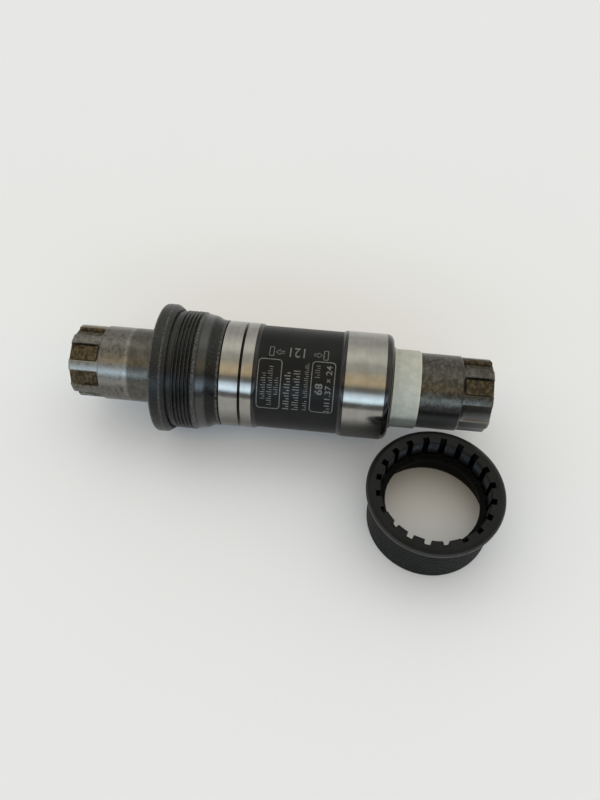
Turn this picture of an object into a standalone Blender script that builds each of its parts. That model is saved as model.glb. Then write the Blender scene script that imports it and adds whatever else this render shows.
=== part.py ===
"""Sealed cartridge bottom bracket with a hollow splined spindle, and its loose left cup.

The cartridge lies along X with its drive end at -X, its flange touching the ground plane.
The left cup is off the cartridge and stands on its inner end beside the spindle.
Stations are millimetres along the spindle, counted from its drive end.
"""
import math

import bmesh
import bpy
from mathutils import Matrix, Vector

MM = 0.001

# Spindle
SPINDLE_LENGTH = 121.0
SPINDLE_RADIUS = 10.9
SPLINE_RADIUS = 10.6
SPLINE_FLOOR = 9.2
SPLINE_LENGTH = 8.6
SPLINE_COUNT = 8
SPLINE_LAND_ANGLE = 15.0
SPLINE_FLOOR_WIDTH = 4.4
SPINDLE_CHAMFER = 0.6
BOLT_THREAD_RADIUS = 7.5
BOLT_THREAD_DEPTH = 21.0
BORE_RADIUS = 6.9

# Fixed (drive side) cup
FLANGE_RADIUS = 18.9
FLANGE_OUTER_FACE = 25.4
FLANGE_SEAT = 30.0
FLANGE_SEAT_RADIUS = 17.95
THREAD_RADIUS = 17.4
THREAD_RELIEF_RADIUS = 17.05
SEAT_INNER_RADIUS = 17.45
SEAT_UNDERCUT = 0.4
THREAD_START = 31.4
THREAD_END = 37.2
FIXED_CUP_END = 44.4
FIXED_CUP_BORE = 14.25
WEB_HOLE_RADIUS = 13.1
WEB_START = 32.7
WEB_END = 33.9

# Tool splines inside both cups
TOOL_SLOT_COUNT = 20
TOOL_SLOT_WIDTH = 1.7
TOOL_SLOT_RADIUS = 16.35
TOOL_LAND_RADIUS = 15.3
TOOL_SLOT_DEPTH = 6.0
LEFT_CUP_TURN = 10.5

# Cartridge body
BODY_RADIUS = 15.48
TUBE_RADIUS = 14.97
DRIVE_RACE_START = 34.2
DRIVE_BAND_START = 44.7
BAND_GROOVE_START = 49.95
BAND_GROOVE_END = 50.7
DRIVE_RACE_END = 53.8
LEFT_RACE_START = 79.4
LEFT_BAND_END = 90.6
BODY_END = 92.6
RACE_BORE = 13.3
SPIGOT_RADIUS = 14.2
SPIGOT_LENGTH = 2.5
SEAT_GAP = 0.3

# Ball rows
BALL_DIAMETER = 3.175
BALL_COUNT = 12
PITCH_RADIUS = 12.14
SPINDLE_GROOVE_ARC = 1.64
RACE_GROOVE_ARC = 1.68
DRIVE_ROW = 47.0
LEFT_ROW = 86.5
CAGE_WIDTH = 4.4
CAGE_INNER_RADIUS = 11.25
CAGE_OUTER_RADIUS = 12.95
CAGE_POCKET_RADIUS = 1.75
POCKET_DEPTH = 3.0

# Seals, shields and sleeve
SEAL_CASE_RADIUS = 13.18
SEAL_LIP_RADIUS = 11.0
DRIVE_SEAL_FACE = 34.5
LEFT_SEAL_FACE = 92.3
SHIELD_THICKNESS = 0.6
SHIELD_INNER_RADIUS = 11.1
DRIVE_SHIELD = 50.0
LEFT_SHIELD = 82.6
SLEEVE_START = 92.9
SLEEVE_END = 100.6
SLEEVE_RADIUS = 11.4
SLEEVE_LIP_RADIUS = 11.9
SLEEVE_LIP_WIDTH = 0.4

# Left (adapter) cup, measured upwards from its inner end
CUP_HEIGHT = 18.3
CUP_FLANGE_RADIUS = 18.85
CUP_FLANGE_SEAT = 16.3
CUP_LEDGE_TOP = 11.7
CUP_LEDGE_UNDERSIDE = 10.4
CUP_BORE = 15.7
CUP_MOUTH_RADIUS = 16.6
CUP_STATION = 106.5
CUP_OFFSET_Y = -31.65

# Facets
CUP_SEGMENTS = 60
BODY_SEGMENTS = 48
RING_SEGMENTS = 40
BALL_SUBDIVISIONS = 2
POCKET_SEGMENTS = 10
ARC_STEPS = 3
MERGE_DISTANCE = 0.00001

# The origin is under the middle of the whole object's box
CENTRE_STATION = (CUP_STATION + CUP_FLANGE_RADIUS) / 2
CENTRE_Y = (FLANGE_RADIUS + CUP_OFFSET_Y - CUP_FLANGE_RADIUS) / 2

COLLECTION = "bottom_bracket"
CUTTERS = "cutters"

# name: colour, roughness, metallic
MATERIALS = {
    "spindle_steel": ((0.17, 0.16, 0.14), 0.36, 1.0),
    "black_cup": ((0.012, 0.012, 0.014), 0.45, 0.6),
    "ground_steel": ((0.52, 0.50, 0.47), 0.27, 1.0),
    "black_tube": ((0.010, 0.011, 0.012), 0.33, 0.2),
    "sleeve_plastic": ((0.50, 0.52, 0.45), 0.55, 0.0),
    "bearing_steel": ((0.62, 0.62, 0.62), 0.12, 1.0),
    "cage_steel": ((0.42, 0.40, 0.37), 0.35, 1.0),
    "seal_case_steel": ((0.20, 0.20, 0.20), 0.40, 1.0),
    "seal_rubber": ((0.015, 0.015, 0.015), 0.70, 0.0),
}


def clear_scene():
    for obj in list(bpy.data.objects):
        bpy.data.objects.remove(obj, do_unlink=True)


def collection(name):
    made = bpy.data.collections.new(name)
    bpy.context.scene.collection.children.link(made)
    return made


def material(name):
    colour, roughness, metallic = MATERIALS[name]
    made = bpy.data.materials.new(name)
    made.use_nodes = True
    shader = made.node_tree.nodes["Principled BSDF"]
    shader.inputs["Base Color"].default_value = (*colour, 1.0)
    shader.inputs["Roughness"].default_value = roughness
    shader.inputs["Metallic"].default_value = metallic
    return made


def pivot(name, location, rotation):
    """An empty that stands for a body's own frame; its Z is the body's axis."""
    empty = bpy.data.objects.new(name, None)
    empty.empty_display_size = 5 * MM
    empty.location = Vector(location) * MM
    empty.rotation_euler = rotation
    parts.objects.link(empty)
    return empty


def add_part(name, mesh, material_name, parent):
    obj = bpy.data.objects.new(name, mesh)
    if not mesh.materials:
        mesh.materials.append(materials[material_name])
    parts.objects.link(obj)
    obj.parent = parent
    return obj


def turned(name, outline, material_name, parent, segments=BODY_SEGMENTS):
    """A ring turned about the parent's Z from a closed outline of (station, radius) points.

    The outline runs along its outer side with rising station and back along its bore.
    """
    mesh = bpy.data.meshes.new(name)
    points = [(radius * MM, 0.0, station * MM) for station, radius in reversed(outline)]
    edges = [(i, (i + 1) % len(points)) for i in range(len(points))]
    mesh.from_pydata(points, edges, [])
    obj = add_part(name, mesh, material_name, parent)
    screw = obj.modifiers.new("turn", "SCREW")
    screw.axis = "Z"
    screw.steps = segments
    screw.render_steps = segments
    screw.use_merge_vertices = True
    screw.merge_threshold = MERGE_DISTANCE
    screw.use_smooth_shade = True
    return obj


def flipped(outline, station):
    """The same outline facing the other way along the axis, about a station."""
    return [(2 * station - s, r) for s, r in reversed(outline)]


def ball_groove(station, arc_radius, surface_radius, outward):
    """Points of a raceway that follows the ball row at a station, with rising station."""
    reach = abs(PITCH_RADIUS - surface_radius)
    half_angle = math.acos(reach / arc_radius)
    side = 1 if outward else -1
    points = []
    for step in range(ARC_STEPS + 1):
        angle = half_angle * (2 * step / ARC_STEPS - 1)
        along = station + arc_radius * math.sin(angle)
        points.append((along, PITCH_RADIUS + side * arc_radius * math.cos(angle)))
    return points


def cutter(name, mesh, parent):
    obj = bpy.data.objects.new(name, mesh)
    cutters.objects.link(obj)
    obj.parent = parent
    obj.hide_render = True
    obj.display_type = "WIRE"
    return obj


def cut(obj, tool):
    boolean = obj.modifiers.new(tool.name, "BOOLEAN")
    boolean.operation = "DIFFERENCE"
    boolean.object = tool


def radial_blocks(name, count, first_angle, inner, outer, widths, low, high, parent):
    """Wedge-sided blocks set round the Z axis, as wide as widths says inside and outside."""
    bm = bmesh.new()
    inner_width, outer_width = widths
    for index in range(count):
        angle = math.radians(first_angle + index * 360 / count)
        made = bmesh.ops.create_cube(bm, size=1.0)
        for vert in made["verts"]:
            is_outer = vert.co.x > 0
            width = outer_width if is_outer else inner_width
            x = outer if is_outer else inner
            z = high if vert.co.z > 0 else low
            vert.co = Vector((x, math.copysign(width / 2, vert.co.y), z)) * MM
        bmesh.ops.rotate(bm, verts=made["verts"], matrix=Matrix.Rotation(angle, 3, "Z"))
    mesh = bpy.data.meshes.new(name)
    bm.to_mesh(mesh)
    bm.free()
    return cutter(name, mesh, parent)


def row_angles():
    for index in range(BALL_COUNT):
        yield 2 * math.pi * index / BALL_COUNT


def ball_mesh(name):
    bm = bmesh.new()
    bmesh.ops.create_icosphere(bm, subdivisions=BALL_SUBDIVISIONS, radius=BALL_DIAMETER / 2 * MM)
    mesh = bpy.data.meshes.new(name)
    bm.to_mesh(mesh)
    bm.free()
    mesh.shade_smooth()
    return mesh


def pocket_pegs(name, station, parent):
    """Round pegs set radially round a cage, one for each ball pocket."""
    bm = bmesh.new()
    lying = Matrix.Rotation(math.pi / 2, 4, "Y")
    for angle in row_angles():
        place = Matrix.Rotation(angle, 4, "Z") @ Matrix.Translation(
            Vector((PITCH_RADIUS, 0.0, station)) * MM) @ lying
        bmesh.ops.create_cone(bm, cap_ends=True, segments=POCKET_SEGMENTS,
                              radius1=CAGE_POCKET_RADIUS * MM, radius2=CAGE_POCKET_RADIUS * MM,
                              depth=POCKET_DEPTH * MM, matrix=place)
    mesh = bpy.data.meshes.new(name)
    bm.to_mesh(mesh)
    bm.free()
    return cutter(name, mesh, parent)


def make_spindle(parent):
    near_end = SPINDLE_CHAMFER
    far_end = SPINDLE_LENGTH - SPINDLE_CHAMFER
    spline_step = SPINDLE_RADIUS - SPLINE_RADIUS
    mouth = BOLT_THREAD_RADIUS + 0.9
    far_spline = SPINDLE_LENGTH - SPLINE_LENGTH
    outline = [
        (0.0, SPLINE_RADIUS - SPINDLE_CHAMFER),
        (near_end, SPLINE_RADIUS),
        (SPLINE_LENGTH, SPLINE_RADIUS),
        (SPLINE_LENGTH + spline_step, SPINDLE_RADIUS),
        *ball_groove(DRIVE_ROW, SPINDLE_GROOVE_ARC, SPINDLE_RADIUS, outward=False),
        *ball_groove(LEFT_ROW, SPINDLE_GROOVE_ARC, SPINDLE_RADIUS, outward=False),
        (far_spline - spline_step, SPINDLE_RADIUS),
        (far_spline, SPLINE_RADIUS),
        (far_end, SPLINE_RADIUS),
        (SPINDLE_LENGTH, SPLINE_RADIUS - SPINDLE_CHAMFER),
        (SPINDLE_LENGTH, mouth),
        (SPINDLE_LENGTH - 0.9, BOLT_THREAD_RADIUS),
        (SPINDLE_LENGTH - BOLT_THREAD_DEPTH, BOLT_THREAD_RADIUS),
        (SPINDLE_LENGTH - BOLT_THREAD_DEPTH - 0.6, BORE_RADIUS),
        (BOLT_THREAD_DEPTH + 0.6, BORE_RADIUS),
        (BOLT_THREAD_DEPTH, BOLT_THREAD_RADIUS),
        (0.9, BOLT_THREAD_RADIUS),
        (0.0, mouth),
    ]
    spindle = turned("spindle", outline, "spindle_steel", parent)
    pitch = 360 / SPLINE_COUNT
    open_angle = math.radians(pitch - SPLINE_LAND_ANGLE)
    slope = (2 * SPLINE_RADIUS * math.sin(open_angle / 2) - SPLINE_FLOOR_WIDTH) / 2
    depth = SPLINE_RADIUS * math.cos(open_angle / 2) - SPLINE_FLOOR
    outer = SPLINE_RADIUS + 1.0
    outer_width = SPLINE_FLOOR_WIDTH + 2 * slope * (outer - SPLINE_FLOOR) / depth
    for side, low, high in (("drive", -1.0, SPLINE_LENGTH),
                            ("left", far_spline, SPINDLE_LENGTH + 1.0)):
        grooves = radial_blocks(side + "_spline_grooves", SPLINE_COUNT, pitch / 2, SPLINE_FLOOR,
                                outer, (SPLINE_FLOOR_WIDTH, outer_width), low, high, parent)
        cut(spindle, grooves)


def tool_slots(name, low, high, parent):
    widths = (TOOL_SLOT_WIDTH, TOOL_SLOT_WIDTH)
    return radial_blocks(name, TOOL_SLOT_COUNT, 0.0, TOOL_LAND_RADIUS - 1.0, TOOL_SLOT_RADIUS,
                         widths, low, high, parent)


def make_fixed_cup(parent):
    outline = [
        (FLANGE_OUTER_FACE, FLANGE_RADIUS - 0.7),
        (FLANGE_OUTER_FACE + 0.7, FLANGE_RADIUS),
        (FLANGE_SEAT - 1.4, FLANGE_RADIUS),
        (FLANGE_SEAT, FLANGE_SEAT_RADIUS),
        (FLANGE_SEAT, SEAT_INNER_RADIUS),
        (FLANGE_SEAT - SEAT_UNDERCUT, THREAD_RELIEF_RADIUS),
        (THREAD_START, THREAD_RELIEF_RADIUS),
        (THREAD_START + 0.4, THREAD_RADIUS),
        (THREAD_END, THREAD_RADIUS),
        (THREAD_END + 0.6, THREAD_RADIUS - 0.45),
        (THREAD_END + 3.4, THREAD_RADIUS - 0.85),
        (THREAD_END + 4.7, BODY_RADIUS + 0.4),
        (THREAD_END + 5.5, BODY_RADIUS + 0.12),
        (FIXED_CUP_END, BODY_RADIUS + 0.05),
        (FIXED_CUP_END, FIXED_CUP_BORE),
        (WEB_END, FIXED_CUP_BORE),
        (WEB_END, WEB_HOLE_RADIUS),
        (WEB_START, WEB_HOLE_RADIUS),
        (WEB_START, TOOL_LAND_RADIUS),
        (FLANGE_OUTER_FACE + 0.4, TOOL_LAND_RADIUS),
        (FLANGE_OUTER_FACE, TOOL_LAND_RADIUS + 0.4),
    ]
    cup = turned("fixed_cup", outline, "black_cup", parent, CUP_SEGMENTS)
    slots = tool_slots("fixed_cup_slots", FLANGE_OUTER_FACE - 1.0,
                       FLANGE_OUTER_FACE + TOOL_SLOT_DEPTH, parent)
    cut(cup, slots)


def make_left_cup(parent):
    outline = [
        (0.0, CUP_MOUTH_RADIUS + 0.35),
        (0.45, THREAD_RADIUS),
        (CUP_FLANGE_SEAT, THREAD_RADIUS),
        (CUP_FLANGE_SEAT, CUP_FLANGE_RADIUS - 0.3),
        (CUP_FLANGE_SEAT + 0.3, CUP_FLANGE_RADIUS),
        (CUP_HEIGHT - 0.4, CUP_FLANGE_RADIUS),
        (CUP_HEIGHT, CUP_FLANGE_RADIUS - 0.4),
        (CUP_HEIGHT, TOOL_LAND_RADIUS + 0.4),
        (CUP_HEIGHT - 0.4, TOOL_LAND_RADIUS),
        (CUP_LEDGE_TOP, TOOL_LAND_RADIUS),
        (CUP_LEDGE_TOP - 0.5, WEB_HOLE_RADIUS),
        (CUP_LEDGE_UNDERSIDE, WEB_HOLE_RADIUS),
        (CUP_LEDGE_UNDERSIDE, CUP_BORE),
        (2.0, CUP_BORE),
        (0.0, CUP_MOUTH_RADIUS),
    ]
    cup = turned("left_cup", outline, "black_cup", parent, CUP_SEGMENTS)
    slots = tool_slots("left_cup_slots", CUP_HEIGHT - TOOL_SLOT_DEPTH, CUP_HEIGHT + 1.0, parent)
    slots.rotation_euler.z = math.radians(LEFT_CUP_TURN)
    cut(cup, slots)


def make_outer_races(parent):
    floor = DRIVE_RACE_END - SPIGOT_LENGTH
    drive_groove = ball_groove(DRIVE_ROW, RACE_GROOVE_ARC, RACE_BORE, outward=True)
    drive = [
        (DRIVE_RACE_START, FIXED_CUP_BORE - 0.12),
        (DRIVE_BAND_START, FIXED_CUP_BORE - 0.12),
        (DRIVE_BAND_START, BODY_RADIUS),
        (BAND_GROOVE_START, BODY_RADIUS),
        (BAND_GROOVE_START, BODY_RADIUS - 0.45),
        (BAND_GROOVE_END, BODY_RADIUS - 0.45),
        (BAND_GROOVE_END, BODY_RADIUS),
        (DRIVE_RACE_END, BODY_RADIUS),
        (DRIVE_RACE_END, SPIGOT_RADIUS + 0.1),
        (floor, SPIGOT_RADIUS + 0.1),
        (floor, RACE_BORE),
        *reversed(drive_groove),
        (DRIVE_RACE_START, RACE_BORE),
    ]
    turned("drive_outer_race", drive, "ground_steel", parent)
    floor = LEFT_RACE_START + SPIGOT_LENGTH
    left_groove = ball_groove(LEFT_ROW, RACE_GROOVE_ARC, RACE_BORE, outward=True)
    left = [
        (LEFT_RACE_START, BODY_RADIUS),
        (LEFT_BAND_END, BODY_RADIUS),
        (LEFT_BAND_END + 1.0, BODY_RADIUS - 0.28),
        (LEFT_BAND_END + 1.7, BODY_RADIUS - 0.9),
        (BODY_END, BODY_RADIUS - 1.6),
        (BODY_END, RACE_BORE),
        *reversed(left_groove),
        (floor, RACE_BORE),
        (floor, SPIGOT_RADIUS + 0.1),
        (LEFT_RACE_START, SPIGOT_RADIUS + 0.1),
    ]
    turned("left_outer_race", left, "ground_steel", parent)


def make_centre_tube(parent):
    start = DRIVE_RACE_END + SEAT_GAP
    end = LEFT_RACE_START - SEAT_GAP
    lip = BODY_RADIUS - 0.05
    outline = [
        (start - SPIGOT_LENGTH, SPIGOT_RADIUS),
        (start, SPIGOT_RADIUS),
        (start, lip),
        (start + 0.5, lip),
        (start + 1.1, TUBE_RADIUS),
        (end - 1.1, TUBE_RADIUS),
        (end - 0.5, lip),
        (end, lip),
        (end, SPIGOT_RADIUS),
        (end + SPIGOT_LENGTH, SPIGOT_RADIUS),
        (end + SPIGOT_LENGTH, RACE_BORE),
        (start - SPIGOT_LENGTH, RACE_BORE),
    ]
    turned("centre_tube", outline, "black_tube", parent)


def make_seals(parent):
    """An L-section steel case with a rubber lip ring behind its web, one pair a side."""
    case = [
        (0.0, SEAL_CASE_RADIUS),
        (3.0, SEAL_CASE_RADIUS),
        (3.0, SEAL_CASE_RADIUS - 0.4),
        (0.5, SEAL_CASE_RADIUS - 0.4),
        (0.5, SEAL_CASE_RADIUS - 1.15),
        (0.0, SEAL_CASE_RADIUS - 1.15),
    ]
    lip = [
        (-0.3, SEAL_LIP_RADIUS + 0.4),
        (0.8, SEAL_LIP_RADIUS + 0.8),
        (0.8, SEAL_CASE_RADIUS - 0.55),
        (2.7, SEAL_CASE_RADIUS - 0.55),
        (2.7, SEAL_LIP_RADIUS + 0.7),
        (1.4, SEAL_LIP_RADIUS),
        (-0.3, SEAL_LIP_RADIUS),
    ]
    for outline, suffix, finish in ((case, "seal_case", "seal_case_steel"),
                                    (lip, "seal_lip", "seal_rubber")):
        drive = [(DRIVE_SEAL_FACE + s, r) for s, r in outline]
        left = flipped([(LEFT_SEAL_FACE + s, r) for s, r in outline], LEFT_SEAL_FACE)
        turned("drive_" + suffix, drive, finish, parent, RING_SEGMENTS)
        turned("left_" + suffix, left, finish, parent, RING_SEGMENTS)


def make_shields(parent):
    for name, station in (("drive_inner_shield", DRIVE_SHIELD),
                          ("left_inner_shield", LEFT_SHIELD)):
        outline = [
            (station, SEAL_CASE_RADIUS),
            (station + SHIELD_THICKNESS, SEAL_CASE_RADIUS),
            (station + SHIELD_THICKNESS, SHIELD_INNER_RADIUS),
            (station, SHIELD_INNER_RADIUS),
        ]
        turned(name, outline, "seal_case_steel", parent, RING_SEGMENTS)


def make_sleeve(parent):
    outline = [
        (SLEEVE_START, SLEEVE_LIP_RADIUS),
        (SLEEVE_START + SLEEVE_LIP_WIDTH, SLEEVE_LIP_RADIUS),
        (SLEEVE_START + SLEEVE_LIP_WIDTH, SLEEVE_RADIUS),
        (SLEEVE_END - 0.4, SLEEVE_RADIUS),
        (SLEEVE_END, SLEEVE_RADIUS - 0.15),
        (SLEEVE_END, SPINDLE_RADIUS + 0.1),
        (SLEEVE_START, SPINDLE_RADIUS + 0.1),
    ]
    turned("left_sleeve", outline, "sleeve_plastic", parent)


def make_ball_row(side, station, parent):
    """One cage with its balls; the balls share a mesh."""
    low = station - CAGE_WIDTH / 2
    high = station + CAGE_WIDTH / 2
    outline = [
        (low, CAGE_OUTER_RADIUS),
        (high, CAGE_OUTER_RADIUS),
        (high, CAGE_INNER_RADIUS),
        (low, CAGE_INNER_RADIUS),
    ]
    cage = turned(side + "_cage", outline, "cage_steel", parent, RING_SEGMENTS)
    cut(cage, pocket_pegs(side + "_cage_pockets", station, parent))
    ball = ball_mesh(side + "_ball")
    for index, angle in enumerate(row_angles(), start=1):
        obj = add_part(f"{side}_ball_{index:02d}", ball, "bearing_steel", parent)
        centre = (PITCH_RADIUS * math.cos(angle), PITCH_RADIUS * math.sin(angle), station)
        obj.location = Vector(centre) * MM


def main():
    along_x = (0.0, math.pi / 2, 0.0)
    spindle_end = (-CENTRE_STATION, -CENTRE_Y, FLANGE_RADIUS)
    cup_foot = (CUP_STATION - CENTRE_STATION, CUP_OFFSET_Y - CENTRE_Y, 0.0)
    cartridge = pivot("cartridge_frame", spindle_end, along_x)
    spindle = pivot("spindle_pivot", spindle_end, along_x)
    drive_cage = pivot("drive_cage_pivot", spindle_end, along_x)
    left_cage = pivot("left_cage_pivot", spindle_end, along_x)
    left_cup = pivot("left_cup_frame", cup_foot, (0.0, 0.0, 0.0))
    make_fixed_cup(cartridge)
    make_outer_races(cartridge)
    make_centre_tube(cartridge)
    make_seals(cartridge)
    make_shields(cartridge)
    make_spindle(spindle)
    make_sleeve(spindle)
    make_ball_row("drive", DRIVE_ROW, drive_cage)
    make_ball_row("left", LEFT_ROW, left_cage)
    make_left_cup(left_cup)


clear_scene()
parts = collection(COLLECTION)
cutters = collection(CUTTERS)
materials = {name: material(name) for name in MATERIALS}
main()
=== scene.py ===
"""The looks of a sealed cartridge bottom bracket and its loose left cup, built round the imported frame.

The cartridge lies along X with its drive end at -X; the left cup stands on the floor beside it.
Stations are millimetres along the spindle from its drive end, and heights are millimetres above
the floor. Angles go round the spindle from +Y (0) over the top (90) to the front (180).
"""
import math

import bmesh
import bpy
import numpy as np
from mathutils import Matrix, Vector


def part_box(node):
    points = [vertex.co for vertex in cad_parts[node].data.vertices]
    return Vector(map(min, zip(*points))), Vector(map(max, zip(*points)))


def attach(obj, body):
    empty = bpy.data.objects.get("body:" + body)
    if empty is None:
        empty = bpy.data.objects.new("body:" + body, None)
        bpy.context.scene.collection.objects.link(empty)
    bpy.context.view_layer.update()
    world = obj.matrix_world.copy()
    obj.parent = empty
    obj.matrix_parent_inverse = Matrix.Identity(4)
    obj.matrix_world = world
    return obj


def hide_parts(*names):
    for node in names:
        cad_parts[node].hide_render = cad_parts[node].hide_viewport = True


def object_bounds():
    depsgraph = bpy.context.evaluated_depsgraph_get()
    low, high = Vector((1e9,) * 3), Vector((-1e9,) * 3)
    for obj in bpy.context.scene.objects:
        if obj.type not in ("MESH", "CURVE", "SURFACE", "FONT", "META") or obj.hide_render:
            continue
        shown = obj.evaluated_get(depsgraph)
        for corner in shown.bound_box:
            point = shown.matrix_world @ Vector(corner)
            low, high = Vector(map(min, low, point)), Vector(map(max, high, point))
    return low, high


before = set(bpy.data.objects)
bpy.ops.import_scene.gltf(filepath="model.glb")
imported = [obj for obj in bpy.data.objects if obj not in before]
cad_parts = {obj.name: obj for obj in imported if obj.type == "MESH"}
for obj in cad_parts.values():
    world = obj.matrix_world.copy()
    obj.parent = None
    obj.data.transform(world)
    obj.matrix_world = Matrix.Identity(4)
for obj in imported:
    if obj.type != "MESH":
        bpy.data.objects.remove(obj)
cad_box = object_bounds()

MM = 0.001
spindle_low, spindle_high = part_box("spindle")
cup_low, cup_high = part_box("left_cup")
SPINDLE_START = Vector((spindle_low.x, (spindle_low.y + spindle_high.y) / 2,
                        (spindle_low.z + spindle_high.z) / 2))
CUP_FOOT = Vector(((cup_low.x + cup_high.x) / 2, (cup_low.y + cup_high.y) / 2, cup_low.z))

# Spindle
SPINDLE_LENGTH = 121.0
SPINDLE_RADIUS = 10.9
SPLINE_RADIUS = 10.6
SPLINE_FLOOR = 9.2
SPLINE_LENGTH = 8.6
SPLINE_COUNT = 8
GROOVE_HALF_WIDTH = 2.775
GROOVE_WALL = 0.45
GROOVE_CORNER = 1.0
BOLT_THREAD_RADIUS = 7.5
BOLT_THREAD_DEPTH = 21.0
BOLT_THREAD_SHOWN = 12.0
BOLT_PITCH = 1.0
BOLT_THREAD_HEIGHT = 0.45
BORE_RADIUS = 6.9

# Cups
CUP_PITCH = 25.4 / 24
THREAD_RADIUS = 17.4
THREAD_HEIGHT = 0.62
SLOT_COUNT = 20
SLOT_RADIUS = 16.3
SLOT_WIDTH = 1.75
LAND_RADIUS = 14.8
FIXED_SLOT_END = 31.4
FLANGE_OUTER_FACE = 25.4
FLANGE_SEAT = 30.0
FLANGE_RADIUS = 18.9
FIXED_CUP_END = 44.4
FIXED_CUP_BORE = 14.25
# Shallower than the fixed cup's thread of the same pitch, against moire in the main view.
CUP_THREAD_HEIGHT = 0.22
CUP_TOP = 18.3
CUP_SLOT_FLOOR = 11.3
CUP_TURN = 10.5

# Cartridge body and ball rows
BODY_RADIUS = 15.48
TUBE_RADIUS = 14.97
PITCH_RADIUS = 12.14
SPINDLE_GROOVE_ARC = 1.64
RACE_GROOVE_ARC = 1.68
RACE_BORE = 13.3
DRIVE_ROW = 47.0
LEFT_ROW = 86.5
BALL_COUNT = 12
DRIVE_RACE_START = 34.2
DRIVE_BAND_START = 44.7
BAND_GROOVE_START = 49.95
BAND_GROOVE_END = 50.7
BAND_GROOVE_DEPTH = 0.45
DRIVE_RACE_END = 53.8
LEFT_RACE_START = 79.4
LEFT_BAND_END = 90.6
BODY_END = 92.6
SPIGOT_LENGTH = 2.5
SOCKET_RADIUS = 14.3
TUBE_SPIGOT_START = 51.6
TUBE_SPIGOT_END = 81.6
TUBE_SPIGOT_RADIUS = 14.2
DRIVE_SEAL_FACE = 34.5
LEFT_SEAL_FACE = 92.3
DRIVE_SHIELD = 50.0
LEFT_SHIELD = 82.6

# Sleeve
SLEEVE_START = 92.9
SLEEVE_END = 100.6
SLEEVE_BORE = 11.0

ROUND_COLUMNS = 192
INNER_COLUMNS = 120


# ---------------------------------------------------------------- shapes

def lying(station, radius, angle):
    """Frame coordinates of points given round the spindle's axis."""
    return (SPINDLE_START.x + station * MM,
            SPINDLE_START.y + radius * np.cos(angle) * MM,
            SPINDLE_START.z + radius * np.sin(angle) * MM)


def standing(height, radius, angle):
    """Frame coordinates of points given round the loose cup's upright axis."""
    return (CUP_FOOT.x + radius * np.cos(angle) * MM,
            CUP_FOOT.y + radius * np.sin(angle) * MM,
            CUP_FOOT.z + height * MM)


def smooth_step(value, low, high):
    share = np.clip((value - low) / (high - low), 0.0, 1.0)
    return share * share * (3 - 2 * share)


def softened(outline, radius=0.12, steps=3):
    """A closed outline of (station, radius) points with each of its corners rounded."""
    points = [np.array(p, float) for p in outline]
    made = []
    for index, corner in enumerate(points):
        before = points[index - 1] - corner
        after = points[(index + 1) % len(points)] - corner
        length_before, length_after = np.linalg.norm(before), np.linalg.norm(after)
        before, after = before / length_before, after / length_after
        opening = math.acos(max(-1.0, min(1.0, float(before @ after))))
        if opening > math.radians(170):
            made.append(corner)
            continue
        reach = min(radius / math.tan(opening / 2), 0.45 * length_before, 0.45 * length_after)
        start, end = corner + before * reach, corner + after * reach
        for step in range(steps + 1):
            t = step / steps
            made.append((1 - t) ** 2 * start + 2 * t * (1 - t) * corner + t ** 2 * end)
    return made


def divided(outline, spacing):
    """A closed outline cut finer; spacing(station, radius) gives the longest step there."""
    made = []
    for index, start in enumerate(outline):
        end = outline[(index + 1) % len(outline)]
        length = float(np.linalg.norm(end - start))
        middle = (start + end) / 2
        count = max(1, math.ceil(length / spacing(*middle) - 1e-6))
        made += [start + (end - start) * step / count for step in range(count)]
    return made


def even_angles(count):
    return np.arange(count) * 2 * math.pi / count


def finished_object(name, mesh, finish):
    obj = bpy.data.objects.new(name, mesh)
    mesh.materials.append(finish)
    bpy.context.scene.collection.objects.link(obj)
    return obj


def shell(name, outline, angles, place, finish, relief=None, sharp=40):
    """A ring turned from a closed outline; relief(station, radius, angle) gives its true radius.

    The outline runs along the outer side with rising station and back along the bore.
    """
    points = np.array(outline)
    station, angle = np.meshgrid(points[:, 0], angles, indexing="ij")
    radius = np.repeat(points[:, 1:2], len(angles), axis=1)
    if relief:
        radius = relief(station, radius, angle)
    x, y, z = place(station, radius, angle)
    vertices = np.stack([np.broadcast_to(a, radius.shape) for a in (x, y, z)], axis=-1).reshape(-1, 3)
    rows, columns = radius.shape
    ring, column = np.meshgrid(np.arange(rows), np.arange(columns), indexing="ij")
    next_ring, next_column = (ring + 1) % rows, (column + 1) % columns
    faces = np.stack([ring * columns + column, ring * columns + next_column,
                      next_ring * columns + next_column, next_ring * columns + column],
                     axis=-1).reshape(-1, 4)
    mesh = bpy.data.meshes.new(name)
    mesh.from_pydata(vertices.tolist(), [], faces.tolist())
    mesh.shade_smooth()
    mesh.set_sharp_from_angle(angle=math.radians(sharp))
    return finished_object(name, mesh, finish)


def turned(name, outline, finish, radius=0.12, columns=ROUND_COLUMNS):
    return shell(name, softened(outline, radius), even_angles(columns), lying, finish)


def belongs(obj, body, slot, *nodes):
    """Ties a piece to its CAD body and hides the CAD nodes that it stands for; slot is not used."""
    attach(obj, body)
    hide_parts(*nodes)


def groove_outline(station, arc, surface, outward, steps=10):
    """Points of a raceway round the ball row at a station, with rising station."""
    half = math.acos(abs(PITCH_RADIUS - surface) / arc)
    side = 1 if outward else -1
    turns = [half * (2 * step / steps - 1) for step in range(steps + 1)]
    return [(station + arc * math.sin(t), PITCH_RADIUS + side * arc * math.cos(t)) for t in turns]


def flipped(outline, station):
    """The same outline facing the other way along the axis, about a station."""
    return [(2 * station - s, r) for s, r in reversed(outline)]


def thread_wave(turns):
    """0 at a thread's crest and 1 at its root, with both a little flattened."""
    wave = np.abs(2 * (turns % 1.0) - 1.0)
    return smooth_step(wave, 0.12, 0.88)


# ---------------------------------------------------------------- spindle

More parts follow.
